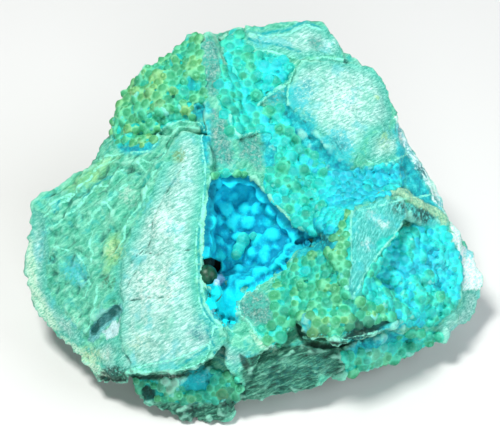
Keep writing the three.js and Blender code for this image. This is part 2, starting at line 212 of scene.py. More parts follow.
surfaceZones = byKind([
    # silky pale breaks: the broad face left of the hollow, the facet and block at the top right, small plates
    ("pale", -72,91, -54,92, -47,79, -46,59, -45,42, -50,19, -53,-1, -55,-21, -55,-51, -52,-76, -46,-91,
     -37,-102, -30,-116, -39,-126, -50,-136, -74,-145, -100,-147, -123,-147, -132,-150, -131,-121, -132,-86,
     -135,-58, -129,-34, -121,-16, -113,2, -102,21, -96,36, -88,52, -79,69),
    ("pale", 42,152, 53,162, 70,166, 95,164, 122,156, 135,142, 140,124, 143,106, 135,96, 122,91, 112,78,
     103,61, 91,66, 81,76, 71,88, 59,100, 50,108, 42,115, 37,123, 37,134),
    ("pale", -7,194, 12,191, 35,195, 55,203, 75,197, 88,182, 93,168, 70,168, 50,165, 35,170, 12,174, -2,179),
    ("pale", 118,89, 135,96, 151,92, 156,74, 145,66, 128,60, 116,66),
    ("pale", -132,-114, -142,-114, -153,-121, -162,-126, -152,-141, -138,-156, -130,-148),
    ("pale", -216,17, -206,10, -202,-11, -200,-28, -204,-48, -200,-70, -188,-86, -174,-102, -164,-118,
     -172,-122, -184,-116, -194,-108, -210,-88, -223,-61, -226,-31, -222,-1),
    ("pale", 213,-64, 237,-64, 231,-92, 218,-105, 202,-115, 190,-118, 187,-103, 197,-91, 210,-82),
    ("pale", -37,-122, -26,-118, -10,-124, 2,-128, -2,-138, -15,-148, -28,-142, -38,-134),
    # the standing blade and the face under the brow
    ("blade", 102,12, 118,21, 135,25, 153,25, 160,14, 152,-2, 142,-14, 128,-31, 116,-50, 106,-71, 99,-77,
     95,-68, 100,-38, 100,-11),
    ("blade", 154,23, 164,18, 178,11, 189,3, 186,-7, 175,-6, 162,-1, 154,7),
    # crevices, and the undersides of ledges
    ("shade", 53,-117, 70,-119, 94,-117, 102,-119, 95,-125, 85,-125, 68,-125, 56,-122),
    ("shade", 92,-113, 102,-107, 111,-103, 128,-97, 147,-91, 156,-86, 159,-90, 148,-96, 136,-103, 128,-109,
     112,-113, 96,-118),
    ("shade", -112,-164, -102,-160, -93,-165, -94,-175, -104,-179, -112,-174),
    ("shade", -153,-148, -138,-156, -124,-154, -118,-160, -126,-164, -142,-163, -152,-157),
    ("shade", 43,-91, 47,-90, 50,-96, 53,-106, 59,-114, 52,-116, 47,-109, 44,-100),
    ("shade", -47,-150, -38,-146, -34,-152, -38,-162, -45,-160),
    ("shade", -12,-128, -4,-132, 2,-142, -4,-148, -10,-140),
    ("shade", -122,-152, -100,-151, -74,-151, -54,-145, -44,-139, -43,-143, -60,-152, -90,-156, -114,-157),
    # rough grey plates: the tooth above the hollow, the plate beside it, the speckled plate
    ("grey", -47,188, -36,190, -29,176, -28,158, -33,142, -31,126, -38,124, -45,138, -49,158, -50,174),
    ("grey", -41,111, -31,116, -24,104, -20,88, -14,64, -20,56, -28,61, -38,66, -41,84),
    ("grey", -12,84, -3,87, 8,89, 12,78, 14,64, 12,52, 5,54, -4,62, -11,68),
    ("grey", 10,120, 22,130, 39,139, 38,129, 26,120),
    ("grey", -12,-79, -7,-70, 4,-65, 12,-67, 20,-75, 24,-86, 23,-98, 13,-106, 1,-100, -10,-92),
    ("grey", 55,180, 62,188, 72,187, 75,178, 66,174),
    # blue film in troughs and gaps
    ("film", 33,126, 40,116, 49,108, 59,99, 71,87, 81,75, 91,65, 103,59, 99,47, 82,52, 66,67, 51,80, 39,97,
     32,113),
    ("film", 82,52, 100,52, 122,57, 142,62, 154,54, 152,38, 136,28, 116,23, 103,18, 95,9, 86,-8, 70,-12,
     56,-5, 64,2, 76,18, 85,34),
    ("film", -50,100, -41,104, -39,89, -42,74, -42,60, -47,61, -47,82),
    ("film", -63,140, -58,146, -54,140, -56,132, -61,132),
    ("film", -132,78, -122,80, -108,78, -94,84, -93,80, -100,73, -112,71, -128,73),
    ("film", 12,88, 20,90, 26,74, 25,58, 18,52, 14,64),
    ("film", -57,119, -45,120, -38,112, -44,104, -56,106),
    ("film", 162,-22, 178,-14, 196,-16, 208,-28, 216,-44, 212,-61, 198,-66, 180,-62, 164,-52, 158,-38),
    ("film", -72,-152, -58,-146, -38,-144, -35,-154, -42,-168, -58,-168, -70,-164),
    ("film", 95,-119, 122,-113, 148,-107, 154,-113, 130,-123, 108,-129, 96,-133),
    ("film", 96,-117, 111,-111, 129,-105, 148,-98, 157,-93, 161,-99, 148,-105, 122,-109, 100,-117),
    ("film", 148,84, 155,70, 164,56, 177,38, 187,18, 191,9, 178,18, 162,28, 154,38, 154,54, 146,66),
    ("film", -4,-132, 8,-130, 14,-142, 6,-152, -4,-148),
    ("film", 47,-86, 55,-86, 64,-96, 63,-106, 56,-109, 51,-98),
    ("film", -45,-66, -42,-81, -37,-93, -28,-101, -19,-105, -12,-99, -13,-76, -28,-66),
    ("film", 46,-4, 62,-12, 82,-12, 94,-16, 82,-26, 62,-30, 50,-34, 46,-21),
    ("film", 5,158, 22,162, 34,156, 32,144, 18,140, 6,144),
    # the white rind at the right
    ("cream", 196,4, 208,-2, 214,-20, 224,-30, 234,-44, 237,-66, 213,-66, 212,-51, 208,-32, 202,-14),
    ("cream", 145,108, 154,92, 160,76, 170,61, 183,44, 193,20, 200,2, 197,0, 188,18, 177,40, 164,57, 155,71,
     148,88),
    # pale lips of broken layers
    ("lip", -192,-110, -182,-114, -166,-126, -152,-140, -138,-154, -132,-164, -146,-160, -160,-148, -174,-132,
     -188,-118),
    ("lip", -225,-14, -218,-16, -214,-38, -212,-61, -201,-84, -190,-104, -198,-108, -212,-91, -224,-66,
     -228,-38),
    ("lip", 2,-107, 9,-115, 18,-121, 26,-125, 23,-128, 10,-122, 0,-112),
    # the dark layered foot, and painted shade under the ledges
    ("dark", -4,-134, 12,-128, 32,-122, 50,-121, 68,-126, 85,-122, 95,-128, 98,-142, 90,-154, 70,-150,
     66,-164, 50,-172, 20,-174, -10,-180, -14,-172, -4,-160, -10,-150),
    ("dark", 54,-115, 72,-118, 96,-116, 104,-120, 96,-127, 86,-129, 68,-126, 52,-123),
    ("dark", -158,-146, -146,-156, -128,-158, -112,-162, -112,-174, -130,-168, -152,-164, -164,-150),
    ("dark", -100,-175, -80,-178, -50,-180, -18,-176, -10,-184, -25,-196, -45,-206, -72,-202, -95,-188),
    ("dark", -122,-150, -100,-149, -74,-149, -50,-140, -38,-132, -36,-138, -48,-148, -72,-156, -98,-155,
     -120,-157),
    # the notch at the lower left
    ("slate", -130,-80, -140,-83, -150,-87, -156,-98, -163,-117, -157,-119, -150,-113, -144,-105, -134,-93,
     -130,-88),
    # the white patch in it
    ("frost", -131,-94, -140,-99, -147,-109, -144,-116, -137,-112, -131,-105),
    # olive stains
    ("olive", -138,114, -128,129, -112,144, -98,160, -84,171, -68,181, -64,172, -80,160, -94,148, -108,132,
     -120,116, -126,96, -136,94),
    ("olive", 102,14, 132,21, 154,28, 180,32, 191,19, 196,4, 180,0, 162,2, 159,12, 155,23, 132,17, 106,10),
    ("olive", -190,36, -165,52, -146,66, -130,68, -138,58, -158,42, -180,26),
    ("olive", -142,-11, -129,-8, -130,-26, -136,-44, -146,-52, -146,-32),
])

surfaceLines = byKind([
    # wavy pale edges of layers
    ("vein", -85,61, -94,53, -102,38, -103,28, -114,13, -123,-3, -126,-16, -135,-30),
    ("vein", -150,65, -128,72, -112,72, -99,74, -94,82, -89,94, -79,99, -68,103, -51,101, -46,94, -48,86,
     -47,69, -44,56),
    ("vein", -108,64, -94,60, -88,65, -84,76, -79,89, -71,97, -61,97, -52,96),
    ("vein", -47,74, -45,59, -45,44, -47,27, -48,8, -54,-8, -54,-26, -53,-53, -51,-77, -45,-91, -36,-102),
    ("vein", -40,46, -41,32, -46,13, -49,-12, -48,-36, -47,-48, -48,-64, -44,-80, -37,-94, -20,-107),
    ("vein", -206,-6, -195,-2, -177,13, -164,24, -153,36, -138,39, -132,51, -123,60, -111,60, -104,52),
    ("vein", -207,7, -193,16, -180,27, -166,39, -154,54, -135,65),
    ("vein", -162,0, -154,13, -144,21, -135,28, -123,39),
    ("vein", -158,-7, -160,-21, -157,-30, -158,-38),
    ("vein", -200,19, -184,28, -172,34, -158,48),
    ("vein", -198,-22, -184,-26, -172,-30, -162,-42, -160,-60, -166,-74),
    ("vein", -151,-61, -154,-76, -158,-94, -164,-108),
    ("vein", -142,19, -136,9, -138,16),
    ("vein", -123,-147, -104,-141, -90,-138, -77,-136, -57,-128, -40,-119),
    ("vein", -123,-149, -104,-148, -77,-147, -60,-143, -46,-137, -39,-121),
    ("vein", -40,-119, -36,-102, -28,-104, -20,-107, -10,-113),
    ("vein", -39,-131, -28,-136, -18,-142),
    ("vein", 38,120, 37,132, 42,150, 52,162, 72,167, 96,165),
    ("vein", -4,178, 12,173, 35,169, 52,164),
    ("vein", 0,190, 16,186, 38,190, 56,198, 72,194),
    ("vein", 8,119, 15,126, 25,133, 39,142),
    ("vein", -21,107, -20,98, -15,89, -10,86),
    ("vein", -12,86, -2,90, 10,92),
    ("vein", 102,12, 100,-11, 101,-38, 97,-66),
    ("vein", 102,12, 132,19, 155,25, 180,29),
    ("vein", 159,12, 143,-11, 126,-31, 113,-51, 103,-72),
    ("vein", 116,65, 130,58, 146,64, 158,71),
    ("vein", -11,-81, -10,-90, 0,-98, 6,-110, 16,-120, 26,-124),
    ("vein", -10,-78, -4,-68, 8,-64, 12,-52, 11,-44),
    ("vein", 53,-112, 70,-117, 96,-115, 122,-109, 144,-103),
    # blue seams between layers
    ("blueLine", -49,99, -46,84, -45,64, -44,48, -46,28, -51,2, -52,-21, -51,-38, -51,-61, -48,-81, -42,-92,
     -34,-104),
    ("blueLine", -44,-106, -39,-114, -36,-122),
    ("blueLine", -3,186, 12,180, 32,178, 50,172),
    ("blueLine", 12,190, 36,193, 54,201, 70,197),
    ("blueLine", 36,126, 35,136, 40,150),
    ("blueLine", -60,162, -58,148, -59,134, -54,124),
    ("blueLine", -74,-144, -55,-132, -41,-123),
    ("blueLine", -197,12, -192,18, -190,24),
    ("blueLine", -166,24, -154,38, -138,48),
    ("blueLine", -36,-128, -24,-134),
    # the thick rim over the blade
    ("brow", 133,31, 146,33, 157,28, 167,21, 179,15, 188,8, 192,-1),
    # steps that beads have grown across
    ("worn", -31,189, -22,167, -17,152, -10,139, -5,119, 0,104, 1,89, 0,57),
    ("worn", 57,-16, 66,-16, 78,-16),
    # hair cracks
    ("crack", -60,72, -68,57, -78,43, -86,30, -92,16, -98,2, -101,-18, -109,-36, -119,-55, -124,-64),
    ("crack", -105,-27, -94,-31, -77,-27, -60,-25),
    ("crack", -128,-77, -100,-74, -74,-73),
    ("crack", -120,-38, -109,-26, -100,-16),
    ("crack", -110,74, -116,62, -126,46, -140,28),
    ("crack", -14,84, -4,86, 8,90),
    ("crack", 100,-117, 122,-112, 136,-108, 149,-105),
])

hollowMouth = inMm([-40,46, -31,53, -18,49, -7,52, 6,44, 20,28, 30,15, 41,3, 52,-6, 61,-11, 67,-14, 64,-19,
    56,-22, 46,-28, 40,-38, 36,-48, 26,-54, 14,-59, 6,-66, -4,-71, -12,-79, -14,-89, -12,-100, -20,-104,
    -30,-100, -39,-94, -45,-79, -47,-61, -48,-38, -47,-16, -45,9, -41,30])

darkHole = inMm([-47,-35, -39,-33, -29,-38, -29,-45, -34,-51, -37,-60, -44,-61, -47,-51])

# across, up and radius in the same steps, warmth (olive above 0, cyan below), painted light (highlight above 0,
# shade below)
tintSpots = [(*(n / 5 for n in spot[:3]), *spot[3:]) for spot in (
    (-72,69,7, 1.2,-0.1), (127,127,3, 1.2,-0.1), (135,89,4, 1,0), (-136,-26,11, 1.3,0.2),
    (-72,153,4, 1,-0.35), (-75,129,4, 0.8,-0.4), (-140,-58,10, 0.4,-0.3), (-197,-35,6, 0.2,-0.3),
    (-193,17,5, -0.8,-0.1), (-177,-44,13, -1.1,0.12), (-168,-58,8, -0.6,0.1), (158,74,12, -0.9,-0.2),
    (170,52,12, -0.9,-0.3), (188,18,10, -0.9,0), (220,-28,6, -1.2,0), (-55,124,14, -0.5,0),
    (122,10,9, -0.2,0.2), (134,0,7, 0,0.3), (116,-20,8, -0.2,0.25), (225,-76,14, 0.1,-0.06),
    (-122,29,13, -0.1,0.2), (-92,-61,26, -0.1,0.34), (-85,-1,20, 0,0.3), (-100,-111,22, 0.1,0.08),
    (-70,72,13, 0,-0.14), (-142,-134,11, 0.3,0.2), (-178,-96,14, 0.3,0.12), (-28,76,12, -0.3,-0.16),
    (6,-88,12, -0.3,-0.12), (-15,-136,9, -0.3,-0.12), (93,124,24, -0.1,0.3), (-158,44,20, 0.5,0),
    (-100,149,22, 0.5,0), (-125,119,20, 0.6,0), (-190,-106,16, -0.1,0.1), (-160,-131,10, 1,0.2),
    (-210,-1,12, 0,-0.05), (46,126,12, -1.3,-0.14), (56,102,10, -1.2,-0.24), (54,38,18, 0,-0.17),
    (86,82,13, -1.4,-0.24), (95,72,9, -1.2,-0.06), (148,94,8, -0.8,-0.1), (72,-16,9, -1.2,-0.35),
    (-49,-157,11, -2.4,0.14), (-82,-162,15, 0,0.4), (-22,-174,12, 0.1,-0.3), (-60,-184,18, 0,-0.34),
    (-136,-156,14, 0,-0.85), (-38,140,13, -0.1,-0.2), (-25,-174,14, 0,-0.15), (172,8,9, -0.3,-0.3),
    (102,40,20, -0.2,-0.2), (-48,-106,18, -0.5,-0.2), (110,-107,13, 0,-0.7), (-36,-86,9, -1.2,0.3),
    (125,-128,20, -0.2,0.15), (70,-106,14, 0,-0.12), (154,-44,22, -0.5,0.06), (53,-121,10, 0,-0.2),
    (60,139,10, -0.5,-0.2), (24,127,9, -1,0.05), (68,-111,10, 0.3,-0.2), (-106,-164,8, 0,-0.26),
    (-97,-171,9, 0,-0.26), (12,184,12, -0.7,0.1), (80,180,9, -0.4,0.25), (192,-41,16, -0.6,0.1),
    (70,-104,14, 0.7,-0.05), (50,-86,16, 0.3,0), (150,19,14, 0.3,-0.3), (175,12,12, 0.1,-0.3),
    (-60,-121,18, 0,-0.05), (-115,-121,18, 0.35,0.08), (85,-21,12, 0.6,0), (-90,-166,16, 0.2,-0.15),
    (30,-151,30, -0.22,-0.16), (72,-142,20, -0.2,0), (0,-86,12, 0.3,-0.1), (-180,-6,14, 0,-0.1),
    (135,79,12, 0.5,0), (-140,4,12, 0.25,0.05),
)]


def asSeen(points):
    # mm places in the model to [across, up] on the display side, and how far out of it
    offset = points - displayCentre
    out = offset @ outAxis
    grow = display["distance"] / (display["distance"] - out)
    return np.stack((offset @ acrossAxis * grow, offset @ upAxis * grow), 1), out


farthest = 3.0  # mm, past which a zone or line has no effect


def lineGap(points, line):
    gap = np.full(len(points), 99.0)
    for start, end in zip(np.array(line[:-1]), np.array(line[1:])):
        along = end - start
        share = np.clip(((points - start) @ along) / (along @ along), 0, 1)
        gap = np.minimum(gap, np.linalg.norm(points - start - share[:, None] * along, axis=1))
    return gap


def nearTo(points, line):
    line = np.array(line)
    return np.nonzero(((points > line.min(0) - farthest) & (points < line.max(0) + farthest)).all(1))[0]


def insideBy(allPoints, outline):
    # mm inside an outline, negative outside
    reach = np.full(len(allPoints), -farthest)
    near = nearTo(allPoints, outline)
    points = allPoints[near]
    closed = outline + outline[:1]
    gap = lineGap(points, closed)
    inside = np.zeros(len(points), bool)
    for (x0, y0), (x1, y1) in zip(closed[:-1], closed[1:]):
        if y0 != y1:
            crosses = (points[:, 1] > y0) != (points[:, 1] > y1)
            inside ^= crosses & (points[:, 0] < (x1 - x0) * (points[:, 1] - y0) / (y1 - y0) + x0)
    reach[near] = np.maximum(np.where(inside, gap, -gap), -farthest)
    return reach


def zoneReach(seen, frontness, outlines):
    reach = np.full(len(seen), -farthest)
    for outline in outlines:
        reach = np.maximum(reach, insideBy(seen, outline))
    return reach * frontness - farthest * (1 - frontness)


def lineReach(seen, frontness, lines):
    gap = np.full(len(seen), farthest)
    for line in lines:
        near = nearTo(seen, line)
        gap[near] = np.minimum(gap[near], lineGap(seen[near], line))
    return gap * frontness + farthest * (1 - frontness)


def tinted(seen):
    # how warm the stains make each place, and how much painted highlight or painted shade lies on it
    warm = light = np.zeros(len(seen))
    for across, up, radius, warmth, paintedLight in tintSpots:
        weight = np.exp(-((seen[:, 0] - across) ** 2 + (seen[:, 1] - up) ** 2) / (radius * radius))
        warm, light = warm + warmth * weight, light + paintedLight * weight
    return warm, light


# Mesh helpers

def perVertex(mesh, key):
    flat = np.empty(len(mesh.vertices) * 3, np.float32)
    mesh.vertices.foreach_get(key, flat)
    return flat.reshape(-1, 3).astype(float)


def coordinates(mesh):
    return perVertex(mesh, "co") / mm


def normals(mesh):
    return perVertex(mesh, "normal")


def setCoordinates(mesh, points):
    mesh.vertices.foreach_set("co", (points * mm).astype(np.float32).ravel())
    mesh.update()


def setAttributes(mesh, named):
    for name, values in named.items():
        layer = mesh.attributes.new(name, "FLOAT", "POINT")
        layer.data.foreach_set("value", np.asarray(values, np.float32))


def edgePairs(mesh):
    flat = np.empty(len(mesh.edges) * 2, np.int32)
    mesh.edges.foreach_get("vertices", flat)
    return flat.reshape(-1, 2)


def relax(values, pairs, rounds):
    # each vertex moves to the mean of its neighbours, over and over
    values = np.array(values, float)
    count = np.bincount(pairs.ravel(), minlength=len(values))
    for _ in range(rounds):
        total = np.stack([
            np.bincount(pairs[:, 0], values[pairs[:, 1], k], len(values))
            + np.bincount(pairs[:, 1], values[pairs[:, 0], k], len(values))
            for k in range(values.shape[1])], 1)
        values = total / np.maximum(count, 1)[:, None]
    return values


def standing(mesh, points, pairs, rounds):
    # mm that each point stands out of its surroundings
    return ((points - relax(points, pairs, rounds)) * normals(mesh)).sum(1)


def smoothShare(value, low, high):
    share = np.clip((value - low) / (high - low), 0, 1)
    return share * share * (3 - 2 * share)


def roughness(points, size, height, offset=0.0):
    shift = Vector((offset, 0, 0))
    return np.array([noise.fractal(Vector(p / size) + shift, 1.0, 2.0, 3) for p in points]) * height


def unevenPlaces(points):
    # breaks every straight edge, the same way for all that meets there
    size, amount = 4.2, 0.42
    shift = np.array([noise.turbulence_vector(Vector(p / size), 3, False) for p in points])
    return points + shift * amount


def meshOf(name, maker):
    mesh = bpy.data.meshes.new(name)
    bm = bmesh.new()
    maker(bm)
    bm.to_mesh(mesh)
    bm.free()
    return mesh


def evaluated(mesh, kind, settings, group=None):
    # the mesh as one modifier leaves it
    name = mesh.name
    holder = addObject(name, mesh)
    if group is not None:
        holder.vertex_groups.new(name="chosen").add([int(k) for k in np.nonzero(group)[0]], 1.0, "REPLACE")
    modifier = holder.modifiers.new(name, kind)
    for key, value in settings.items():
        setattr(modifier, key, value)
    result = bpy.data.meshes.new_from_object(holder.evaluated_get(bpy.context.evaluated_depsgraph_get()))
    bpy.data.objects.remove(holder)
    result.name = name
    return result


def refined(name, maker, voxel, uneven=True):
    # closed shapes run together into one, with small even faces
    settings = {"mode": "VOXEL", "voxel_size": voxel * mm, "adaptivity": 0}
    mesh = evaluated(meshOf(name, maker), "REMESH", settings)
    pairs = edgePairs(mesh)
    points = relax(coordinates(mesh), pairs, 1)
    if uneven:
        points = unevenPlaces(points)
    setCoordinates(mesh, points)
    return mesh, pairs, points


def fromNode(bm, node):
    before = len(bm.verts)
    bm.from_mesh(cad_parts[node].data)
    bm.verts.ensure_lookup_table()
    bmesh.ops.remove_doubles(bm, verts=bm.verts[before:], dist=0.005 * mm)


def place(name, mesh, material):
    piece = addObject(name, mesh)
    mesh.materials.clear()
    mesh.materials.append(material)
    mesh.polygons.foreach_set("use_smooth", np.ones(len(mesh.polygons), bool))
    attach(piece, "root")
    return piece


def triangleCount(mesh):
    return sum(len(face.vertices) - 2 for face in mesh.polygons)


# The broken stone

stoneForm = {
    "voxel": 0.46,  # mm between points of the fine surface
    "triangles": 188000,
    "facing": (-0.25, 0.12),  # how squarely a place has to face the eye to count as the front
    "farSide": (-34, -26),  # mm behind the display centre where the front fades out
    "bow": (6.0, 0.6),  # size and height of the slow unevenness
    "chips": (2.4, 0.42),
    "pits": (1.0, 0.22),
    "smoothFaces": (0.6, 0.5),  # how much less the pale faces chip and pit
    "vein": (0.5, 0.12),  # half width and height of what stands along a line
    "brow": (1.1, 0.8),
    "walls": (0.45, 0.75),  # the same of the thin walls between beads
    "crack": (0.3, 0.4),
    "rindHeight": 0.2,
    "shadeDepth": 0.5,
    "layers": (1.5, 0.3),  # spacing and height of the layers that the foot breaks along
    "layerLean": 0.3, "layerWander": (4.0, 1.4, 3),
    "folds": (3.1, 0.8),  # the same of the leaning folds on the left flank
    "foldLean": (-0.64, 0.77), "foldWander": (6.0, 2.8, 21),
    "foldSide": (12, 16),  # mm left of the middle where those begin
    "worn": (2.8, 1.4, 45),  # reach in mm, its soft edge, and rounds of smoothing
    "deepest": -30,  # mm behind the display centre that the dark hole may reach
    "mouthDepth": 1.5,  # keeps the stone clear of the crust inside the hollow's mouth
    "holeDepth": 4.0,
    "mouthEdge": (0.1, 0.8), "holeEdge": (-0.3, 0.3),  # mm inside their outlines where those depths begin
    "veinClear": 0.75,  # mm that beads keep off a vein
    "ridgeRounds": 10, "riseRounds": 60,  # of smoothing, for what stands out in small and in large
    "behindCrust": (-0.6, 0.45),  # mm that the solid crust is moved by, inner and outer side
}


def stoneBulk(bm):
    # the stone grows in behind the crust of the hollow, so that no slit shows between them
    fromNode(bm, "hollow_crust")
    bm.normal_update()
    inner, outer = stoneForm["behindCrust"]
    for vert in bm.verts:
        vert.co += vert.normal * (inner if vert.normal.dot(roomCentre - vert.co) > 0 else outer) * mm
    fromNode(bm, "rock")


def sawtooth(value):
    return np.abs(value % 1 - 0.5) * 2 - 0.5


def stoneLift(points, seen, reach, gaps, beadGround):
    # mm that each place stands out of the solid's surface
    def ridge(name, width, height):
        return height * np.exp(-(gaps[name] / width) ** 2)

    def highest(*names):
        return np.maximum.reduce([reach[name] for name in names])

    smoothFace = smoothShare(highest("pale", "blade", "cream"), -0.2, 0.8)
    fewerChips, fewerPits = stoneForm["smoothFaces"]
    lift = roughness(points, *stoneForm["bow"])
    lift += roughness(points, *stoneForm["chips"], 7) * (1 - fewerChips * smoothFace)
    lift += roughness(points, *stoneForm["pits"], 13) * (1 - fewerPits * smoothFace)
    lift += ridge("vein", *stoneForm["vein"])
    lift += ridge("brow", *stoneForm["brow"])
    lift += ridge("vein", *stoneForm["walls"]) * smoothShare(beadGround, -0.2, 0.3)
    lift -= ridge("crack", *stoneForm["crack"])
    rind, shade = smoothShare(reach["cream"], -0.2, 0.4), smoothShare(reach["shade"], -0.3, 0.8)
    lift += stoneForm["rindHeight"] * rind - stoneForm["shadeDepth"] * shade
    spacing, height = stoneForm["folds"]
    wander = roughness(points, *stoneForm["foldWander"])
    folds = sawtooth((seen @ np.array(stoneForm["foldLean"]) + wander) / spacing)
    bare = np.maximum(highest("pale", "grey", "cream", "slate"), beadGround)
    lift += height * folds * (1 - smoothShare(bare, -1.2, 0)) * smoothShare(-seen[:, 0], *stoneForm["foldSide"])
    spacing, height = stoneForm["layers"]
    wander = roughness(points, *stoneForm["layerWander"])
    layers = sawtooth((seen[:, 1] - stoneForm["layerLean"] * seen[:, 0] + wander) / spacing)
    return lift + smoothShare(reach["dark"], 0, 0.8) * height * layers


def makeStone():
    mesh, pairs, points = refined("brokenStone", stoneBulk, stoneForm["voxel"])
    facing = normals(mesh)
    seen, out = asSeen(points)
    toEye = (eye - points) / np.linalg.norm(eye - points, axis=1)[:, None]
    frontness = smoothShare((facing * toEye).sum(1), *stoneForm["facing"])
    frontness = frontness * smoothShare(out, *stoneForm["farSide"])
    reach = {name: zoneReach(seen, frontness, outlines) for name, outlines in surfaceZones.items()}
    gaps = {name: lineReach(seen, frontness, lines) for name, lines in surfaceLines.items()}
    beadGround = zoneReach(seen, frontness, [ground["outline"] for ground in beadGrounds.values()])

    # beads have grown across one step, so it is worn down
    wide, soft, rounds = stoneForm["worn"]
    wornDown = smoothShare(wide - gaps.pop("worn"), 0, soft)
    points = points + (relax(points, pairs, rounds) - points) * wornDown[:, None]
    lift = stoneLift(points, seen, reach, gaps, beadGround)
    mouth = smoothShare(insideBy(seen, hollowMouth), *stoneForm["mouthEdge"])
    hollowed = mouth * frontness * stoneForm["mouthDepth"]
    hole = smoothShare(insideBy(seen, darkHole), *stoneForm["holeEdge"]) * (out > stoneForm["deepest"])
    hollowed += hole * stoneForm["holeDepth"]
    points = points + facing * lift[:, None] - outAxis * hollowed[:, None]
    points[:, 2] = np.maximum(points[:, 2], 0)
    setCoordinates(mesh, points)

    warm, light = tinted(seen)
    setAttributes(mesh, {
        **reach, **gaps, "bead": beadGround, "warm": warm * frontness, "light": light * frontness,
        "front": frontness, "ridge": standing(mesh, points, pairs, stoneForm["ridgeRounds"])})
    bare = [reach[name] for name in ("dark", "shade", "slate", "grey", "film", "pale", "blade")]
    ways = relax(normals(mesh), pairs, 3)
    stone = {"points": points, "ways": ways / np.linalg.norm(ways, axis=1)[:, None], "front": frontness,
             "bare": np.maximum.reduce([*bare, stoneForm["veinClear"] - gaps["vein"]]),
             "rise": standing(mesh, points, pairs, stoneForm["riseRounds"])}
    # fewer faces, all of them taken from where the surface isn't on show
    share = stoneForm["triangles"] / (2 * len(mesh.polygons))
    thin = evaluated(mesh, "DECIMATE", {"ratio": share, "vertex_group": "chosen"}, frontness < 0.3)
    points = coordinates(thin)
    points[:, 2] = np.maximum(points[:, 2], 0)
    setCoordinates(thin, points)
    return thin, stone


def alongDisplay(place, turnDegrees, squeeze):
    # the display side's own axes, turned within it, so that a pattern can run across it at a slant
    turn, tree = math.radians(turnDegrees), place.id_data
    axes = (acrossAxis * math.cos(turn) + upAxis * math.sin(turn),
            upAxis * math.cos(turn) - acrossAxis * math.sin(turn), outAxis)
    parts = [addNode(tree, "ShaderNodeVectorMath", {0: place, 1: tuple(axis * share)}, operation="DOT_PRODUCT")
             for axis, share in zip(axes, squeeze)]
    ends = {k: part.outputs["Value"] for k, part in enumerate(parts)}
    return addNode(tree, "ShaderNodeCombineXYZ", ends).outputs[0]


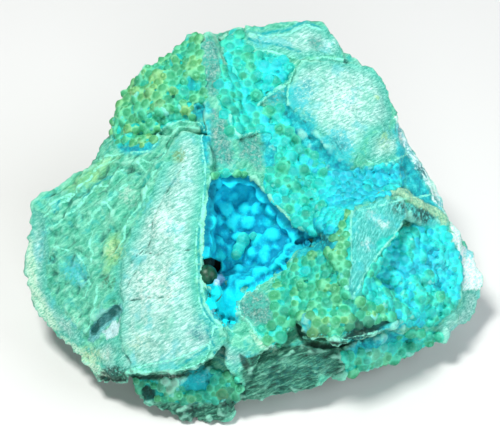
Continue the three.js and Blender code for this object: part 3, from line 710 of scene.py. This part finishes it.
def stoneMaterial():
    # silky pale breaks, grey plates and blue film over banded blue-green rock
    material, tree = newMaterial("brokenChrysocolla")
    place = millimetres(tree)
    front, paleIn, shade, warm, light, ridge = attributes(tree, "front pale shade warm light ridge")
    wobble = plus(swing(grain(place, 1.1, 4), 1.8), swing(grain(place, 0.35, 2), 0.8))

    def zone(name, low=-0.12, high=0.16):
        return step(plus(attributes(tree, name)[0], wobble), low, high)

    def line(name, width):
        gap = plus(attributes(tree, name)[0], times(wobble, 0.32))
        return step(gap, width * 0.45, width, 1, 0)

    fine, flecks = grain(place, 0.42, 4, 0.75), grain(place, 0.24, 3, 0.75)
    cloud = grain(place, 3.2, 4, 0.62, 0.6)
    # silky fibres run up to the right across each break, drawn 0.25 mm wide so that they still show
    felt = grain(alongDisplay(place, 30, (0.3, 1.5, 0.8)), 0.5, 5, 0.8, 0.15)
    # slower streaks lean the same way over the left flank
    streak = grain(alongDisplay(place, 42, (0.35, 1.15, 0.7)), 1.3, 5, 0.75, 0.6)
    # layers of the foot lean down to the left
    layers = grain(alongDisplay(place, 22, (0.3, 1.3, 0.7)), 0.9, 5, 0.78, 0.5)
    # fibres of the standing blade run along it
    along = grain(alongDisplay(place, 60, (0.25, 1.4, 0.8)), 0.5, 5, 0.78, 0.2)

    matrix = coated(
        tones(streak, 0.34, "#12806A", 0.44, "#3AB08E", 0.52, "#60C6A6", 0.6, "#86DEC0", 0.7, "#B4F4DC"),
        (tones(felt, 0.38, "#1C8870", 0.5, "#50C0A4", 0.6, "#8CE6CE"), 0.35),
        ("#24BCB8", step(cloud, 0.52, 0.64, 0, 0.5)))
    # the middle of each pale break is painted lighter than its edges, as a painted highlight
    pale = coated(
        tones(felt, 0.36, "#1E9080", 0.46, "#44B4A0", 0.54, "#62C8B6", 0.64, "#90E4D6"),
        (tones(felt, 0.36, "#4CA496", 0.46, "#80C6BA", 0.54, "#A4DED4", 0.64, "#D6F8F2"),
         step(paleIn, 0.2, 2.8)),
        ("#54C2A8", step(cloud, 0.52, 0.66, 0, 0.45)),
        ("#4CC8D0", step(grain(place, 4.4, 3), 0.54, 0.66, 0, 0.45)))
    blade = coated(
        tones(along, 0.36, "#1E9C94", 0.48, "#44C0B6", 0.56, "#62D4CC", 0.66, "#98ECE4"),
        ("#30C4CC", step(cloud, 0.5, 0.64, 0, 0.5)))
    grey = coated(
        tones(grain(place, 0.5, 4, 0.8), 0.36, "#0E6A66", 0.45, "#38908A", 0.54, "#64A69E", 0.64, "#B4CEC6"),
        ("#24B0A0", step(grain(place, 1.5, 4, 0.7), 0.46, 0.6, 0, 0.75)),
        ("#9CA898", step(grain(place, 1.1, 4, 0.7), 0.54, 0.66, 0, 0.6)))
    film = tones(grain(place, 1.3, 5, 0.7), 0.36, "#0088A0", 0.46, "#04A6B4", 0.54, "#14BEC6", 0.64, "#48DCDC")
    cream = tones(felt, 0.36, "#84DCD4", 0.45, "#C4F8F2", 0.54, "#F6FFFE")
    dark = tones(layers, 0.34, "#062E26", 0.44, "#1A5C4C", 0.53, "#38866F", 0.64, "#72BCA2")
    lip = tones(felt, 0.36, "#50B496", 0.46, "#8CD8BA", 0.56, "#CCF2DC")
    slate = tones(felt, 0.38, "#46A0A0", 0.5, "#66BEC0", 0.62, "#90DADC")
    frost = tones(fine, 0.35, "#94CCD0", 0.6, "#CCEEF0")
    crease = tones(cloud, 0.36, "#02ACA2", 0.5, "#18CCC0", 0.64, "#58E6D6")
    olive = tones(streak, 0.36, "#4A9C62", 0.52, "#7CC480", 0.64, "#B0E69C")
    brow = tones(fine, 0.36, "#5CAC90", 0.5, "#90CCA8", 0.64, "#C4E6C0")
    hostRock = tones(cloud, 0.32, "#3C7A6A", 0.48, "#5E9A84", 0.6, "#80B092", 0.72, "#B2C8A6")

    # a net of fine pale veins, about 3 mm apart
    bend = addNode(tree, "ShaderNodeTexNoise", {"Vector": place, "Scale": 0.7, "Detail": 4})
    bent = addNode(tree, "ShaderNodeVectorMath", {0: place, 1: bend.outputs["Color"]},
                   operation="ADD").outputs[0]
    net = addNode(tree, "ShaderNodeTexVoronoi", {
        "Vector": alongDisplay(bent, 40, (0.5, 1.2, 0.8)), "Scale": 0.36},
        feature="DISTANCE_TO_EDGE").outputs["Distance"]
    netLine = times(step(net, 0.012, 0.05, 1, 0), step(cloud, 0.42, 0.58, 0.15, 0.8))
    patchy = step(grain(place, 0.9, 3), 0.36, 0.54, 0.25, 0.95)
    broken = step(grain(place, 1.6, 3), 0.42, 0.55, 0.2, 0.8)
    torn = step(grain(place, 0.8, 4, 0.7), 0.36, 0.62, 0.25, 1.5)
    warm, light = times(warm, torn), times(light, torn)
    colour = coated(
        hostRock,
        (matrix, maths("MAXIMUM", front, step(grain(place, 9, 3), 0.45, 0.56, 0, 0.85))),
        ("#8CF0D0", times(netLine, 0.5)),
        (olive, times(zone("olive", -0.8, 0.8), 0.55)),
        (pale, zone("pale")), (blade, zone("blade")), (crease, zone("bead", -0.3, 0.3)),
        (grey, times(zone("grey", -0.6, 0.9), 0.85)), (film, zone("film", -0.8, 0.6)),
        (dark, zone("dark", -0.3, 0.4)), (cream, zone("cream", -0.3, 0.4)),
        (lip, zone("lip", -0.5, 0.5)), (slate, zone("slate")), (frost, zone("frost")),
        ("#062A22", step(shade, -0.2, 0.5, 0, 0.85)),
        # warm and cool stains, then painted shade and painted highlights
        ("#A4D468", step(warm, 0.1, 1.2, 0, 0.45)),
        ("#08C4D0", step(warm, -0.1, -1.0, 0, 0.7)),
        ("#04302A", step(light, -0.05, -0.5, 0, 0.85)),
        ("#F0FFFA", times(step(light, 0.04, 0.4, 0, 0.6), step(felt, 0.42, 0.55, 0.3, 1))),
        # ridges are paler, and creases get painted shade in dark blue-green
        ("#A4F4DC", step(ridge, 0.16, 0.55, 0, 0.55)),
        ("#035C54", step(ridge, -0.12, -0.5, 0, 0.7)),
        ("#02A2A6", times(line("blueLine", 0.36), patchy)),
        ("#8CF4DA", times(line("vein", 0.24), patchy)),
        (brow, times(line("brow", 1.0), 0.9)),
        ("#12544A", times(line("crack", 0.1), broken)),
        # pepper of dark grains, about 0.25 mm
        ("#0C5A4E", step(flecks, 0.4, 0.33, 0, 0.55)))
    height = plus(times(felt, 0.6), times(flecks, 0.4))
    return finished(material, colour, step(felt, 0.4, 0.6, 0.84, 0.56), 1.54, 0.35, (height, 1.0, 0.42))


# Botryoidal beads

# radii in mm, tone (0 blue, 1 olive) and its spread, how often a ring, whether they also grow on blue film
groundColumns = ("largest", "smallest", "tone", "spread", "ring", "onFilm", "outline")
beadGrounds = {name: dict(zip(groundColumns, (*look, inMm(steps)))) for name, (*look, steps) in {
    "shoulder": (1.1, 0.5, 0.7, 0.16, 0.55, False, [-138,112, -130,129, -115,144, -100,161, -85,172, -70,181,
        -52,193, -47,179, -49,162, -45,144, -42,126, -47,120, -57,119, -56,106, -68,103, -79,99, -89,94,
        -94,84, -108,78, -122,80, -132,78, -138,86, -142,102]),
    "upperBowl": (1.25, 0.5, 0.36, 0.2, 0.5, False, [-28,184, -18,192, -7,194, -4,176, 12,171, 35,167, 46,160,
        38,150, 34,140, 22,131, 10,120, 12,114, 26,118, 38,120, 50,86, 64,72, 80,54, 68,49, 50,46, 38,52,
        26,58, 26,74, 20,90, 8,91, -3,88, -12,84, -20,88, -24,104, -31,120, -33,140, -27,158, -29,176]),
    "bowlLow": (1.2, 0.5, 0.34, 0.22, 0.6, False, [14,50, 26,58, 38,52, 50,46, 68,49, 82,52, 90,42, 84,28,
        74,16, 66,4, 72,-8, 60,-10, 48,-2, 40,8, 28,18, 12,36]),
    "rightLobe": (1, 0.46, 0.19, 0.22, 0.55, False, [128,-16, 145,-9, 162,-1, 184,-2, 196,0, 200,-14, 206,-32,
        210,-51, 211,-68, 207,-81, 196,-90, 186,-102, 158,-102, 146,-92, 135,-80, 122,-80, 112,-66, 116,-52,
        126,-34]),
    "lowerLobe": (1.2, 0.5, 0.62, 0.2, 0.6, False, [42,-38, 55,-31, 68,-28, 80,-26, 84,-51, 95,-70, 108,-76,
        122,-81, 135,-81, 145,-91, 148,-100, 130,-103, 110,-105, 95,-110, 75,-112, 62,-110, 53,-102, 47,-86,
        35,-76, 22,-76, 20,-66, 28,-52]),
    "speckledRim": (1.35, 0.6, 0.6, 0.2, 0.6, False, [12,-66, 22,-72, 35,-76, 47,-86, 50,-96, 40,-102,
        34,-110, 34,-119, 25,-124, 14,-120, 6,-110, 2,-102, 12,-105, 23,-98, 24,-84, 18,-72]),
    "underLobe": (1.3, 0.6, 0.45, 0.2, 0.45, False, [95,-122, 110,-119, 130,-116, 150,-111, 170,-108,
        188,-108, 192,-116, 175,-123, 160,-131, 140,-141, 120,-144, 105,-151, 95,-148, 91,-138]),
    "foot": (0.95, 0.5, 0.48, 0.12, 0.5, False, [-122,-156, -100,-155, -74,-156, -45,-144, -25,-148, -12,-156,
        -5,-171, -14,-178, -45,-178, -70,-180, -92,-176, -105,-178, -114,-168]),
    "bladeRind": (1.05, 0.5, 0.64, 0.15, 0.5, False, [80,10, 95,17, 102,12, 100,-11, 100,-38, 96,-68, 88,-64,
        83,-51, 80,-26, 77,-8]),
    "trough": (0.95, 0.5, 0.02, 0.12, 0.1, True, [48,74, 66,64, 82,52, 102,54, 122,57, 142,62, 154,54, 152,38,
        136,28, 116,23, 103,18, 95,10, 86,-6, 72,-10, 64,2, 76,18, 86,34, 70,48, 50,58]),
    "lobeFilm": (0.9, 0.5, 0.14, 0.12, 0.1, True, [162,-22, 178,-14, 196,-16, 208,-28, 214,-44, 210,-61,
        198,-66, 180,-62, 164,-52, 158,-38]),
    "bowlCrown": (1.4, 0.7, 0.17, 0.06, 0, True, [5,158, 22,162, 34,156, 32,144, 18,140, 6,144]),
    "mouthRim": (1.1, 0.7, 0.5, 0.15, 0.4, False, [-38,48, -30,53, -18,49, -12,54, -4,54, -7,47, -24,44,
        -36,44]),
}.items()}
beadForm = {
    "voxel": 0.31, "sink": 0.2, "spacing": 0.84, "squash": 0.95,
    "swell": (0.8, 0.2),  # size and height of what keeps them from being quite round
    "sizes": (1.0, 0.84, 0.68, 0.54, 0.44),  # shares of the largest radius, tried in turn
    "tries": 2600, "most": 4000,  # places tried for each size, and beads in one skin
    "unlike": (0.85, 1.15),  # how far one bead's size may be off the others'
    "drift": (4.5, 0.3),  # mm over which the tone drifts, and how far
    "dip": (0.25, -0.2, 0.15),  # tone for each mm that a place stands out, and its limits
    "spreadShare": 0.35, "warmShare": 0.12, "ringShare": 0.16,  # of what the ground and its stains say
}


def isFree(spot, size, spots, sizes, spacing):
    # whether a round lump here keeps its distance from those so far
    return (np.linalg.norm(spots - spot, axis=1) > (sizes + size) * spacing).all()


def scatterBeads(stone, names):
    points, chosen = stone["points"], []
    seen = asSeen(points)[0]
    spots, sizes = np.zeros((beadForm["most"], 3)), np.zeros(beadForm["most"])
    for name in names:
        ground = beadGrounds[name]
        kept = (stone["bare"] < 0.1) | ground["onFilm"]
        inside = np.nonzero((insideBy(seen, ground["outline"]) > 0.1) & (stone["front"] > 0.5) & kept)[0]
        for share in beadForm["sizes"]:
            radius = max(ground["largest"] * share, ground["smallest"])
            for k in rng.permutation(inside)[:beadForm["tries"]]:
                size = radius * rng.uniform(*beadForm["unlike"])
                count = len(chosen)
                if isFree(points[k], size, spots[:count], sizes[:count], beadForm["spacing"]):
                    spots[count], sizes[count] = points[k], size
                    chosen.append((points[k], stone["ways"][k], size, ground, stone["rise"][k]))
    return chosen


def addDomes(bm, spots, ways, sizes, sink):
    # round tops on a shallow root, added a few dozen at a time
    batch, flatter = 48, 0.6
    for start in range(0, len(spots), batch):
        part = bmesh.new()
        for spot, way, size, sunk in list(zip(spots, ways, sizes, sink))[start:start + batch]:
            way = Vector(way)
            centre = Vector(spot * mm) - way * size * sunk * mm
            turn = way.to_track_quat("Z", "Y").to_matrix().to_4x4()
            form = Matrix.Translation(centre) @ turn @ Matrix.Diagonal((1, 1, beadForm["squash"], 1))
            made = bmesh.ops.create_icosphere(part, subdivisions=2, radius=size * mm, matrix=form)
            for vert in made["verts"]:
                depth = (vert.co - centre).dot(way)
                if depth < 0:
                    vert.co -= way * depth * flatter
        scratch = bpy.data.meshes.new("domes")
        part.to_mesh(scratch)
        part.free()
        bm.from_mesh(scratch)
        bpy.data.meshes.remove(scratch)


def beadSkin(name, chosen):
    # the beads run together into one botryoidal skin, and each point keeps the finish of its own bead
    spots, ways, sizes = (np.array(column) for column in list(zip(*chosen))[:3])
    sink = np.full(len(spots), beadForm["sink"])
    mesh, pairs, points = refined(
        name, lambda bm: addDomes(bm, spots, ways, sizes, sink), beadForm["voxel"], uneven=False)
    centres = spots - ways * (sizes * beadForm["sink"])[:, None]
    tree = kdtree.KDTree(len(centres))
    for k, centre in enumerate(centres):
        tree.insert(centre, k)
    tree.balance()
    owner = np.array([min(tree.find_n(p, 4), key=lambda found: found[2] / sizes[found[1]])[1] for p in points])
    away = points - centres[owner]
    finish = {"tone": [], "ring": [], "tint": [], "light": []}
    (driftSize, driftTone), (dip, *dipLimits) = beadForm["drift"], beadForm["dip"]
    for (spot, way, size, ground, rise), warm, light in zip(chosen, *tinted(asSeen(spots)[0])):
        finish["light"].append(0.5 + light)
        # the tone drifts slowly over the ground, bluer in its dips
        drift = noise.noise(Vector(spot / driftSize)) * driftTone + np.clip(rise * dip, *dipLimits)
        tone = ground["tone"] + drift + rng.normal() * ground["spread"] * beadForm["spreadShare"]
        finish["tone"].append(tone + warm * beadForm["warmShare"])
        finish["ring"].append(float(rng.random() < ground["ring"] * beadForm["ringShare"]))
        finish["tint"].append(rng.random())
    setAttributes(mesh, {
        "crown": (away * ways[owner]).sum(1) / np.linalg.norm(away, axis=1),
        "crease": -standing(mesh, points, pairs, 5),
        **{key: np.clip(values, 0, 1)[owner] for key, values in finish.items()}})
    size, height = beadForm["swell"]
    swell = np.array([noise.noise(Vector(p / size)) for p in points]) * height
    points = points + normals(mesh) * swell[:, None]
    points[:, 2] = np.maximum(points[:, 2], 0.02)
    setCoordinates(mesh, points)
    return mesh


# single beads that grew in the hollow: across and up on the display side, radius, tone
loneBeads = [(-0.8, -3.2, 1.6, 0.3), (-2, -4.6, 1.35, 0.36), (-2.8, -5.8, 1.2, 0.42), (0.2, -2.2, 1, 0.28),
             (-5.2, 9.8, 1.1, 0.45), (-6.4, 9.6, 0.9, 0.45)]
loneFinish = {"spread": 0.04, "ring": 0}
glassyBead = {"at": (-8.2, -10), "radius": 2.1, "raise": 0.6}


def spotOnCrust(points, *at):
    seen, out = asSeen(points)
    near = np.nonzero(np.linalg.norm(seen - np.array(at), axis=1) < 0.6)[0]
    return points[near[out[near].argmax()]] + outAxis * 0.3, outAxis


def makeGlassyBead(points):
    spot, way = spotOnCrust(points, *glassyBead["at"])
    centre = Matrix.Translation(Vector(spot + way * glassyBead["raise"]) * mm)
    return meshOf("glassyBead", lambda bm: bmesh.ops.create_icosphere(
        bm, subdivisions=3, radius=glassyBead["radius"] * mm, matrix=centre))


def glassMaterial():
    # smooth dark malachite: bottle green, with one soft highlight
    material, tree = newMaterial("glassyMalachite")
    mottle = grain(millimetres(tree), 0.7, 3)
    return finished(material, tones(mottle, 0.4, "#04301F", 0.6, "#0C4E38"),
                    step(mottle, 0.3, 0.7, 0.34, 0.46), 1.6, 0.3)


def beadMaterial(name):
    # satin round tops of banded green, paler where two beads meet; the blue ones are softer
    material, tree = newMaterial(name)
    place = millimetres(tree)
    tone, crown, ring, tint, light, crease = attributes(tree, "tone crown ring tint light crease")
    fine = grain(place, 0.36, 4, 0.8)
    shifted = plus(tone, swing(grain(place, 2.4, 3), 0.3))
    uneven = plus(crown, swing(fine, 0.4))
    heart = tones(shifted, 0.0, "#04AEC6", 0.2, "#04C4C6", 0.4, "#08A894", 0.6, "#189E74", 0.8, "#2E9C64",
                  1.0, "#4A9A54")
    skin = tones(shifted, 0.0, "#16D2E4", 0.2, "#1CE4DE", 0.4, "#2CD4BC", 0.6, "#48CEA8", 0.8, "#68CC98",
                 1.0, "#84C884")
    band = times(step(uneven, 0.9, 0.94), step(uneven, 0.99, 0.96))
    colour = coated(
        skin,
        (heart, step(uneven, 0.4, 0.82, 0, 0.95)),
        # a thin pale ring round the top of some beads
        (skin, times(band, ring)),
        # pale grains, fewer on the blue beads
        ("#A0F4E2", times(step(fine, 0.56, 0.7, 0, 0.6), step(tone, 0.05, 0.4, 0.3, 1))),
        ("#047A60", step(fine, 0.42, 0.3, 0, 0.45)),
        ("#046A54", step(tint, 0.75, 1, 0, 0.3)),
        # painted shade and painted highlight, from the light column of the tint spots
        ("#04483C", step(light, 0.45, 0, 0, 0.85)),
        ("#D8FFF4", step(light, 0.54, 0.9, 0, 0.6)),
        # painted shade: the meeting lines of the green beads are darkened to dark green
        ("#06705E", times(step(crease, 0.07, 0.2), step(tone, 0.1, 0.5, 0.15, 0.6))))
    return finished(material, colour, step(fine, 0.3, 0.7, 0.38, 0.62), 1.58, 0.4, (fine, 0.7, 0.25))


# The blue crust of the hollow

crustForm = {
    "voxel": 0.34, "largest": 1.9, "lowest": 0.8,
    "sizes": (1.0, 0.8, 0.62, 0.5), "tries": 2400, "most": 3000,
    "sink": (0.4, 0.56), "spacing": (0.9, 0.74),  # for the smallest and the largest lumps
    "lipDrop": 0.5,  # mm that the crust stays under the stone's edge
    "lipSlope": 0.8,  # how steeply it falls away from there
    "edgeLumps": (0.9, 1.4),  # radii of those that fill in up to the stone's edge
    "edgeTries": 3000, "edgeSpacing": 1.1, "edgeSink": 0.5,
    "lipReach": 1.2,  # mm over which it falls, inside and outside the mouth
    "outerSlope": 2.4, "mostDrop": 3.4,
    "nearRim": (1.2, 3.0),  # mm from the rim where all this fades out
    "holeDepth": 2.5, "holeEdge": (-0.2, 0.5),
    "grain": (1.1, 0.1), "fineGrain": (0.5, 0.04, 5),  # size and height of its unevenness
    "growth": (0.42, 0.58), "growsUp": (-14, 3),  # lumps are smaller towards the bottom of the hollow
    "lowPart": (11, 15), "topPart": (1, 7),  # mm below and above the middle where the painted light on the lower and upper part begins
    "rim": (-1.3, -0.1), "edge": (0.3, 2.5),  # mm inside the mouth of the stone's rim and of its edge
    "hidden": (-2, 2.6),  # lumps this far above the rim and this near to it are left out
}
hazePatch = inMm([-36,-53, -29,-48, -24,-55, -30,-62, -37,-62])


def rimBelow(seen, out, rim):
    # mm below the nearest point of the stone's rim, and how far off that is across the display side
    rimSeen, rimOut = rim
    below, apart = np.full(len(seen), 9.0), np.full(len(seen), 9.0)
    for k in range(len(seen)):
        gaps = np.linalg.norm(rimSeen - seen[k], axis=1)
        nearest = gaps.argmin()
        below[k], apart[k] = rimOut[nearest] - out[k], gaps[nearest]
    return below, apart


def openFaces():
    # corners in mm and normals of the crust's faces that look into the room or out of the display side
    source = bmesh.new()
    fromNode(source, "hollow_crust")
    faces = [(np.array(sorted(tuple(v.co) for v in face.verts)) / mm, np.array(face.normal))
             for face in source.faces
             if len(face.verts) == 3 and (face.normal.dot(roomCentre - face.calc_center_median()) > 0
                                          or face.normal.dot(Vector(outAxis)) > 0.3)]
    source.free()
    # merging can shuffle the faces, so they are put in a fixed order
    return sorted(faces, key=lambda face: face[0].round(3).ravel().tolist())


def scatterLumps():
    faces = openFaces()
    areas = np.array([np.linalg.norm(np.cross(c[1] - c[0], c[2] - c[0])) for c, way in faces])
    spots, sizes, ways = np.zeros((crustForm["most"], 3)), np.zeros(crustForm["most"]), []
    least, more = crustForm["growth"]
    for share in crustForm["sizes"]:
        for pick in rng.choice(len(faces), crustForm["tries"], p=areas / areas.sum()):
            corners, way = faces[pick]
            u, v = rng.random(2)
            if u + v > 1:
                u, v = 1 - u, 1 - v
            spot = corners[0] + (corners[1] - corners[0]) * u + (corners[2] - corners[0]) * v
            grown = least + more * smoothShare(asSeen(spot[None, :])[0][0, 1], *crustForm["growsUp"])
            size = max(crustForm["largest"] * grown * share, crustForm["lowest"])
            size = size * rng.uniform(*beadForm["unlike"])
            count = len(ways)
            if isFree(spot, size, spots[:count], sizes[:count], bySize(size, "spacing")):
                spots[count], sizes[count] = spot, size
                ways.append(way)
    return spots[:len(ways)], np.array(ways), sizes[:len(ways)]


def bySize(sizes, key):
    return np.interp(sizes, (crustForm["lowest"], crustForm["largest"]), crustForm[key])


def between(values, low, high):
    return (values > low) & (values < high)


def edgeLumps(stone, edge):
    chosen = []
    for k in rng.permutation(edge)[:crustForm["edgeTries"]]:
        size, spot = rng.uniform(*crustForm["edgeLumps"]), stone["points"][k]
        if all(np.linalg.norm(spot - other[0]) > size * crustForm["edgeSpacing"] for other in chosen):
            chosen.append((spot, stone["ways"][k], size))
    return [np.array(column) for column in zip(*chosen)]


def makeCrust(stone):
    seen, out = asSeen(stone["points"])
    reach, front = insideBy(seen, hollowMouth), stone["front"]
    rim = between(reach, *crustForm["rim"]) & (front > 0.8)
    rim = seen[rim], out[rim]
    lumps = scatterLumps()
    lumpSeen, lumpOut = asSeen(lumps[0])
    below, apart = rimBelow(lumpSeen, lumpOut, rim)
    above, near = crustForm["hidden"]
    kept = (insideBy(lumpSeen, darkHole) < -0.3) & ((below > above) | (apart > near))
    lumps = [column[kept] for column in lumps]
    edge = between(reach, *crustForm["edge"]) & (front > 0.05) & (insideBy(seen, darkHole) < -0.6)
    fill = edgeLumps(stone, np.nonzero(edge)[0])

    def grow(bm):
        fromNode(bm, "hollow_crust")
        addDomes(bm, *lumps, bySize(lumps[2], "sink"))
        addDomes(bm, *fill, np.full(len(fill[0]), crustForm["edgeSink"]))

    mesh, pairs, points = refined("blueCrust", grow, crustForm["voxel"])
    uneven = roughness(points, *crustForm["grain"]) + roughness(points, *crustForm["fineGrain"])
    points = points + normals(mesh) * uneven[:, None]
    seen = asSeen(points)[0]
    up, inward = seen[:, 1], insideBy(seen, hollowMouth)
    level = relax(points, pairs, 30)
    setCoordinates(mesh, level)
    steep = smoothShare(0.85 - normals(mesh) @ outAxis, 0, 0.5)
    # it dips under the stone's edge all round, and opens at the dark hole
    below, apart = rimBelow(*asSeen(level), rim)
    depth = crustForm["lipDrop"] + crustForm["lipSlope"] * np.clip(inward, 0, crustForm["lipReach"])
    depth = depth + crustForm["outerSlope"] * np.clip(-inward, 0, crustForm["lipReach"])
    drop = np.clip(depth - below, 0, crustForm["mostDrop"]) * (1 - smoothShare(apart, *crustForm["nearRim"]))
    hole = smoothShare(insideBy(seen, darkHole), *crustForm["holeEdge"])
    points = points - outAxis * (drop + crustForm["holeDepth"] * hole)[:, None]
    setCoordinates(mesh, points)
    setAttributes(mesh, {
        "crown": standing(mesh, points, pairs, 12),
        "lowPart": smoothShare(-up, *crustForm["lowPart"]),
        "topPart": smoothShare(up, *crustForm["topPart"]),
        "hole": hole,
        "overhung": smoothShare(1.9 - inward, 0, 1.3) * smoothShare(up, -8, -2),
        "steep": steep * (1 - 0.8 * smoothShare(-up, 9, 13)),
        "haze": insideBy(seen, hazePatch)})
    return mesh, points, len(lumps[0])


def crustMaterial():
    # a nap of tiny crystals keeps it velvety, with hardly any gloss
    material, tree = newMaterial("velvetChrysocolla")
    place = millimetres(tree)
    crown, lowPart, topPart, steep, overhung, haze, hole = attributes(
        tree, "crown lowPart topPart steep overhung haze hole")
    fine, cloud = grain(place, 0.34, 3, 0.7), grain(place, 3.0, 3)
    colour = coated(
        tones(plus(plus(crown, swing(fine, 0.3)), 0.5),
              0.34, "#0090B4", 0.46, "#00AACC", 0.54, "#04C2DE", 0.66, "#18DAEC"),
        ("#10D4CC", step(cloud, 0.52, 0.66, 0, 0.35)),
        # painted light: the lower and the upper part of the hollow are made brighter
        ("#08ECF6", times(lowPart, 0.68)),
        ("#0CD2F0", times(topPart, 0.7)),
        ("#66ECF4", step(fine, 0.56, 0.74, 0, 0.4)),
        # painted shade: the steep walls are darker than the floor
        ("#0090B4", times(steep, 0.36)),
        # painted shade: deep blue under the overhang of the hollow's edge
        ("#005E7A", times(overhung, 0.8)),
        ("#A4CCF0", step(plus(haze, swing(fine, 1.2)), -0.1, 0.4, 0, 0.9)),
        # painted shade: near black in the dark hole
        ("#021C1A", step(hole, 0.15, 0.6)))
    return finished(material, colour, 0.8, 1.46, 0.2, (fine, 0.6, 0.16))


def makeFloor():
    floor = addObject("paleFloor", meshOf("paleFloor", lambda bm: bmesh.ops.create_grid(
        bm, x_segments=2, y_segments=2, size=2.5)))
    floor.data.materials.append(finished(newMaterial("paleMattFloor")[0], linear("#D6D8D8"), 0.9))


makeCamera()
makeLights()
makeFloor()
print("camera, lights and floor are in place")

stoneMesh, stone = makeStone()
stonePiece = place("brokenStone", stoneMesh, stoneMaterial())
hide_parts("rock")
print("stone:", triangleCount(stoneMesh), "triangles")

crustMesh, crustPoints, crustCount = makeCrust(stone)
crust = place("blueCrust", crustMesh, crustMaterial())
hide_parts("hollow_crust")
print("crust:", triangleCount(crustMesh), "triangles,", crustCount, "lumps")

blueNames = [name for name in beadGrounds if beadGrounds[name]["tone"] < 0.25]
greenNames = [name for name in beadGrounds if name not in blueNames]
roomBeads = [(*spotOnCrust(crustPoints, across, up), radius, {"tone": tone, **loneFinish}, 0)
             for across, up, radius, tone in loneBeads]
for name, finish, chosen in (
        ("malachiteBeads", "botryoidalMalachite", scatterBeads(stone, greenNames) + roomBeads),
        ("skyBlueBeads", "botryoidalChrysocolla", scatterBeads(stone, blueNames))):
    skin = place(name, beadSkin(name, chosen), beadMaterial(finish))
    print(name + ":", triangleCount(skin.data), "triangles,", len(chosen), "beads")

glass = place("glassyBead", makeGlassyBead(crustPoints), glassMaterial())
